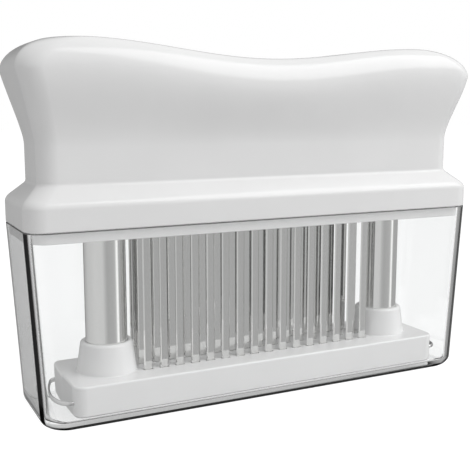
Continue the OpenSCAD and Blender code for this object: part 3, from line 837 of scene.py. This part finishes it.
class TENDERIZER_OT_springs(Operator):
    """Build the return springs inside the tubes"""
    bl_idname = "tenderizer.springs"
    bl_label = "Springs"

    def execute(self, context):
        sizes = context.scene.tenderizer_metal
        wire, turns = sizes.spring_wire / 2, sizes.spring_turns
        coil_r = (SPRING_HIGH.x - SPRING_LOW.x) / 2 - wire
        low, high = SPRING_LOW.z + wire, SPRING_HIGH.z - wire
        closed = 2 * wire + 0.0005  # rise of the first turn and the last
        open_rise = (high - low - 2 * closed) / (turns - 2)
        steel = drawn_steel("spring steel", (0.40, 0.40, 0.41), 0.28, (1, 1, 1))
        steps = 24
        around, section = circle(0, 0, 1, steps), circle(0, 0, wire, 10)
        for name, side in NAMED_SIDES:
            rings = []
            for i in range(turns * steps + 1):
                n = i / steps
                rise = (closed * (min(n, 1) + max(n - turns + 1, 0))
                        + open_rise * min(max(n - 1, 0), turns - 2))
                x, y = around[i % steps]
                rings.append([(side * TUBE_X + (coil_r + out) * x, (coil_r + out) * y,
                               low + rise - up) for out, up in section])
            bm = bmesh.new()
            solid(bm, rings)
            piece = new_piece("coil_" + name, bm)
            soften(piece, 60)
            dress(piece, steel, "spring_steel", "tool", "spring_" + name)
            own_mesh(piece)
        return {"FINISHED"}


# ---- Wire clips ----


class TENDERIZER_OT_clips(Operator):
    """Build the wire clips whose bows stand out of the foot plate's ends"""
    bl_idname = "tenderizer.clips"
    bl_label = "Wire clips"

    def execute(self, context):
        sizes = context.scene.tenderizer_metal
        wire, bend = sizes.clip_wire / 2, sizes.clip_bend_r
        steel = drawn_steel("clip steel", sizes.wire_colour, 0.05, (1, 1, 1), 0.02, 0.004)
        end_x, leg_y, turned = FOOT_HIGH.x, CLIP_HIGH.y - wire, sizes.clip_bend_turn
        bow = bend + (leg_y - bend) / math.cos(turned)
        bow_x = end_x - (bow - bend) * math.sin(turned)
        meet = 90 - math.degrees(turned)
        half = [(mix(CLIP_LOW.x + wire * DOME, end_x, i / 6), leg_y) for i in range(7)]
        half += rounded(end_x, leg_y - bend, bend, bend, 90, meet, 10)[1:]
        half += rounded(bow_x, 0, bow, bow, meet, 0, 12)[1:12]
        for name, side in NAMED_SIDES:
            path = half + [(x, -y) for x, y in half[::-1]]
            bm = bmesh.new()
            sweep(bm, [Vector((side * x, y, CLIP_Z)) for x, y in path], wire, 14)
            piece = new_piece("clip_" + name, bm)
            soften(piece, 60)
            dress(piece, steel, "clip_steel", "clip_" + name, "wire_clip_" + name)
        return {"FINISHED"}


# ---- Clear cover ----


UNDER, RIM, INSIDE = -3, -2, -1
WALL_LEVELS = (0.008, 0.016, 0.028, 0.040, 0.050)


def cover_rings(sizes):
    """Rings of the cover, from the underside over the rim and down to the floor inside.

    Each is (height, half length, half depth, corner radius, angle of the bottom rounding, lift
    at the ends), with UNDER, RIM or INSIDE for the angle away from the outer wall.
    """
    base_x, base_y = RIM_X - sizes.draft_len, RIM_Y - sizes.draft_depth
    round_x, round_y = sizes.base_round_len, sizes.base_round_depth
    top, edge = RIM_Z - sizes.rim_gap, sizes.rim_r

    def outside(z, place=0, in_x=0.0, in_y=0.0, in_r=0.0):
        """A ring of the outer skin, drawn in along, across and at its corners' radius."""
        t = z / RIM_Z
        return (z, base_x + sizes.draft_len * t - in_x, base_y + sizes.draft_depth * t - in_y,
                mix(sizes.base_corner_r, sizes.rim_corner_r, t) - in_r, place, 0)

    def inside(z, extra=0.0):
        draw = sizes.wall + extra
        return outside(z, INSIDE, draw, draw, sizes.wall + extra * 0.7)

    rings = [outside(0, UNDER, round_x + inset, round_y + inset, (round_y + inset) * 0.7)
             for inset in (0.0004, 0.0002)]
    for i, (sine, cosine) in enumerate(arc(30, 90, 0)):
        draw = 1 - cosine
        rings.append(outside(sizes.base_round_h * (1 - sine), 90 - 3 * i,
                             round_x * draw, round_y * draw, round_y * draw * 0.7))
    rings += [outside(z) for z in (*WALL_LEVELS, top - sizes.painted_rim_line - 0.00004)]
    rings.append(outside(top - sizes.painted_rim_line, RIM))
    for sine, cosine in arc(3):
        draw = edge * (1 - cosine)
        rings.append(outside(top - edge * (1 - sine), RIM, draw, draw, draw))
    for sine, cosine in arc(3, 90, 0):
        rings.append(inside(top - edge * (1 - sine), -edge * (1 - cosine)))
    rings += [inside(z) for z in WALL_LEVELS[::-1]]
    floor, side_r, end_r = sizes.floor, sizes.base_inner_r, sizes.end_inner_r
    for sine, cosine in arc(10):
        up, draw = 1 - sine, 1 - cosine
        half_x = inside(floor + end_r, end_r * draw)[1]
        half_y, radius = inside(floor + side_r, side_r * draw)[2:4]
        rings.append((floor + side_r * up, half_x, half_y, radius, INSIDE,
                      (end_r - side_r) * up))
    return rings


def edge_shade(x, y, toward_end, rounding):
    """How much painted shade darkens the clear wall at a place, from 0 to 1: painted dark strips,
    lines and grey bands in place of the dark surroundings that real edges refract.

    toward_end is the outward angle in plan, from 0 on a long wall to 90 on an end wall;
    rounding is the angle on the bottom edge's rounding, 0 on the wall and 90 underneath.
    """
    if rounding < 0:
        # the rim's edge carries a painted dark line
        return 0.92 if rounding == RIM else 0.0
    corner = bottom = 0.0
    start, end = (58, 89) if y < 0 else (62, 78)  # the painted dark strips of the left corners
    if x < 0 and start < toward_end < end:
        corner = min(0.997, (toward_end - start) / 4)
    elif x < 0 and y < 0 and 44 < toward_end < 49:
        corner = 0.25  # a faint painted dark line beside the front strip
    if y < 0 and toward_end < 75:
        # a painted grey band, and the painted dark line under it
        bottom = 0.62 if 8 < rounding <= 28 else ease(min(1.0, max(0.0, (rounding - 28) / 4)))
    elif x < 0 and toward_end > 80 and 18 <= rounding <= 45:
        bottom = 0.6  # the end wall's painted grey band
    return max(corner, bottom)


GRAZING_SHADE = (  # how far a wall turns away from the eye, and what it still lets through: painted shade, darker towards grazing, in place of dark surroundings mirrored
    (0.20, 1.0), (0.38, 0.86), (0.56, 0.66), (0.76, 0.52), (0.86, 0.44), (0.95, 0.004))


def painted(tree, name):
    """The number that a piece's points carry under a name."""
    node = tree.nodes.new("ShaderNodeAttribute")
    node.attribute_name = name
    return node.outputs["Fac"]


def clear_plastic(sizes):
    """Clear plastic: refracts for the camera, and lets lamps and soft light through."""
    material, tree, shader, output = new_material("clear cover plastic")
    # painted shade: the dark strips, lines and grey bands carried by the edge_shade points
    shade = painted(tree, "edge_shade")
    # painted grazing shade: the wall darkens as it turns away from the eye, weighted per point
    slant = math_node(tree, "MULTIPLY", add(tree, "LayerWeight", Blend=0.5).outputs["Facing"],
                      painted(tree, "grazing_shade_weight"))
    both = tree.nodes.new("ShaderNodeMix")
    both.data_type = "RGBA"
    both.blend_type = "MULTIPLY"
    set_inputs(tree, both, Factor=1.0,
               A=ramp(tree, shade, ((0, sizes.colour), (1, sizes.painted_edge_colour))),
               B=ramp(tree, slant, [(place, (grey, grey, grey)) for place, grey in GRAZING_SHADE]))
    # where shade is painted, and on the underside, the IOR falls near 1, so that reflections do not
    # lighten the painted bands
    dull = math_node(tree, "MAXIMUM", shade, painted(tree, "under"))
    set_inputs(tree, shader, Base_Color=both.outputs["Result"], Transmission_Weight=1.0,
               Roughness=0.0, IOR=between(tree, dull, 1.49, 1.01, 0.2, 0.9),
               Normal=relief(tree, noise(tree, 45, 1, (1, 1, 0.15)), 0.04, 0.0002))
    path = add(tree, "LightPath")
    light = math_node(tree, "MAXIMUM", path.outputs["Is Shadow Ray"],
                      path.outputs["Is Diffuse Ray"])
    let_by = math_node(tree, "MAXIMUM", light, mirrored(tree, path))
    set_inputs(tree, output, add(tree, "MixShader", let_by, shader, add(tree, "BsdfTransparent")))
    return material


class TENDERIZER_OT_cover(Operator):
    """Build the clear cover with its drafted walls, rounded bottom edge and painted dark edges"""
    bl_idname = "tenderizer.cover"
    bl_label = "Clear cover"

    def execute(self, context):
        sizes = context.scene.tenderizer_cover
        corner, side = 24, 6
        rings = []
        shade, outer, under = [], [], []
        for z, half_x, half_y, radius, rounding, lift in cover_rings(sizes):
            ring = []
            for i, (x, y) in enumerate(plan(half_x, half_y, radius, corner, side)):
                half = i % (2 * corner + side + 1)
                toward_end = 90 * max(corner - half, half - corner - side, 0) / corner
                ring.append((x, y, z + lift * ease(toward_end / 90)))
                # painted shade at this point, and how strongly the painted grazing shade acts here
                shade.append(edge_shade(x, y, toward_end, rounding))
                # the right-front corner takes the painted grazing shade 1.75 times as strongly, for
                # a wider dark band
                corner_shade_share = 1.75 if x > 0 > y and 0 < toward_end < 90 else 1.0
                outer.append(corner_shade_share if 0 <= rounding <= 30 else 0.0)
                under.append(1.0 if rounding == UNDER else 0.0)
            rings.append(ring)
        bm = bmesh.new()
        solid(bm, rings)
        piece = new_piece("cover_shell", bm)
        for name, values in (("edge_shade", shade), ("grazing_shade_weight", outer), ("under", under)):
            piece.data.attributes.new(name, "FLOAT", "POINT").data.foreach_set("value", values)
        soften(piece, 50)
        dress(piece, clear_plastic(sizes), "clear_plastic", "cover", "clear_cover")
        return {"FINISHED"}


# ---- Stage ----


def seen_directly(tree, path):
    """1 for camera, glossy and transmission rays, 0 for the rays that light surfaces."""
    first = math_node(tree, "MAXIMUM", path.outputs["Is Camera Ray"], path.outputs["Is Glossy Ray"])
    return math_node(tree, "MAXIMUM", first, path.outputs["Is Transmission Ray"])


STUDIO = (  # degrees to the right of the camera, and how bright the studio is there in a mirror
    (-180, 0.05), (-160, 0.05), (-145, 0.34), (-128, 0.45), (-100, 0.58), (-45, 0.66),
    (-4, 0.65), (12, 0.47), (23, 0.41), (36, 0.43), (57, 0.46), (67, 0.54), (75, 1.10), (83, 1.10),
    (90, 0.42), (148, 0.40), (162, 0.05), (180, 0.05))


def build_world(scene, sky_left, sky_right, overhead):
    """White to the eye, soft light from all round, and a studio that the steel mirrors."""
    world = bpy.data.worlds.new("studio")
    world.use_nodes = True
    tree = world.node_tree
    tree.nodes.clear()
    path = add(tree, "LightPath")
    place = add(tree, "TexCoord").outputs["Generated"]
    parts = add(tree, "SeparateXYZ", place)
    white = (1, 1, 1, 1)
    level = between(tree, parts.outputs["X"], sky_left, sky_right, -1, 1)
    soft = add(tree, "Background", white, level)
    heading = []
    for direction in ((0.897, -0.442, 0), (-0.442, -0.897, 0)):
        along = add(tree, "VectorMath", place, direction)
        along.operation = "DOT_PRODUCT"
        heading.append(along.outputs["Value"])
    turned = between(tree, math_node(tree, "ARCTAN2", *heading), 0, 1, -math.pi, math.pi)
    peak = 1.2
    stops = [((degrees + 180) / 360, (level / peak,) * 3) for degrees, level in STUDIO]
    sides = add(tree, "Background", ramp(tree, turned, stops), peak)
    above = add(tree, "Background", white, overhead)
    upward = between(tree, parts.outputs["Z"], 0, 1, 0.25, 0.6)
    studio = add(tree, "MixShader", upward, sides, above)
    eye = add(tree, "MixShader", mirrored(tree, path), add(tree, "Background", white, 1.0), studio)
    add(tree, "OutputWorld", add(tree, "MixShader", seen_directly(tree, path), soft, eye))
    scene.world = world


def floor_material(colour):
    """A white floor to the eye that keeps the object's shadow, and a grey one to the light."""
    material, tree, shader, output = new_material("floor paper")
    tree.nodes.remove(shader)
    path = add(tree, "LightPath")
    grey = add(tree, "BsdfDiffuse", (*colour, 1))
    paper = add(tree, "BsdfDiffuse", (0.28, 0.28, 0.28, 1))
    seen = add(tree, "AddShader", paper, add(tree, "Emission", (1, 1, 1, 1), 0.82))
    pick = add(tree, "MixShader", seen_directly(tree, path), grey, seen)
    open_air = add(tree, "BsdfTransparent")
    set_inputs(tree, output, add(tree, "MixShader", mirrored(tree, path), pick, open_air))
    return material


def area_lamp(name, direction, distance, width, power):
    """A soft lamp that looks at the tool's middle from a direction."""
    lamp = bpy.data.lights.new(name, "AREA")
    lamp.shape = "SQUARE"
    lamp.size = width
    lamp.energy = power
    holder = bpy.data.objects.new(name, lamp)
    toward = Vector(direction).normalized()
    holder.location = Vector((0, 0, 0.05)) + toward * distance
    holder.rotation_euler = toward.to_track_quat("Z", "Y").to_euler()
    bpy.context.scene.collection.objects.link(holder)


class TENDERIZER_OT_stage(Operator):
    """Build the pale floor, the soft light and the camera"""
    bl_idname = "tenderizer.stage"
    bl_label = "Stage"

    def execute(self, context):
        sizes = context.scene.tenderizer_stage
        scene = context.scene
        bm = bmesh.new()
        reach, below = 3.0, -0.0001
        bm.faces.new([bm.verts.new(p) for p in at_height(rectangle(0, 0, reach, reach), below)])
        floor = new_piece("floor", bm)
        floor.data.materials.append(floor_material(sizes.floor_colour))
        build_world(scene, sizes.sky_left, sizes.sky_right, sizes.overhead)
        area_lamp("key lamp", (0.52, -0.42, 0.70), 0.8, 0.6, sizes.key_power)

        lens = bpy.data.cameras.new("camera")
        lens.lens = sizes.lens
        lens.sensor_width = 36.0
        lens.clip_start = 0.01
        camera = bpy.data.objects.new("camera", lens)
        camera.location = (-0.11522, -0.221627, 0.086521)
        down, around = 8.844, -26.228
        camera.rotation_euler = (math.radians(90 - down), 0, math.radians(around))
        scene.collection.objects.link(camera)
        scene.camera = camera
        scene.view_settings.view_transform = "Standard"
        return {"FINISHED"}


# ---- Add-on ----


PARTS = (
    TENDERIZER_OT_handle, TENDERIZER_OT_base_plate, TENDERIZER_OT_screws, TENDERIZER_OT_holders,
    TENDERIZER_OT_blades, TENDERIZER_OT_foot_plate, TENDERIZER_OT_tubes, TENDERIZER_OT_collars,
    TENDERIZER_OT_springs, TENDERIZER_OT_clips, TENDERIZER_OT_cover, TENDERIZER_OT_stage,
)
GROUPS = (
    ("tenderizer_handle", TENDERIZER_PG_handle),
    ("tenderizer_foot", TENDERIZER_PG_foot),
    ("tenderizer_metal", TENDERIZER_PG_metal),
    ("tenderizer_cover", TENDERIZER_PG_cover),
    ("tenderizer_stage", TENDERIZER_PG_stage),
)


class TENDERIZER_PT_parts(Panel):
    """Panel with the tool's pieces and their sizes"""
    bl_idname = "TENDERIZER_PT_parts"
    bl_label = "Meat Tenderizer"
    bl_space_type = "VIEW_3D"
    bl_region_type = "UI"
    bl_category = "Tenderizer"

    def draw(self, context):
        for part in PARTS:
            self.layout.operator(part.bl_idname)
        for name, group in GROUPS:
            box = self.layout.box()
            box.label(text=group.__doc__)
            for prop in group.__annotations__:
                box.prop(getattr(context.scene, name), prop)


CLASSES = (*[group for _, group in GROUPS], *PARTS, TENDERIZER_PT_parts)


def register():
    for cls in CLASSES:
        bpy.utils.register_class(cls)
    for name, group in GROUPS:
        setattr(bpy.types.Scene, name, PointerProperty(type=group))


def unregister():
    for name, _ in GROUPS:
        delattr(bpy.types.Scene, name)
    for cls in reversed(CLASSES):
        bpy.utils.unregister_class(cls)


def main():
    register()
    for part in PARTS:
        getattr(bpy.ops.tenderizer, part.bl_idname.split(".")[1])()


if __name__ == "__main__":
    main()
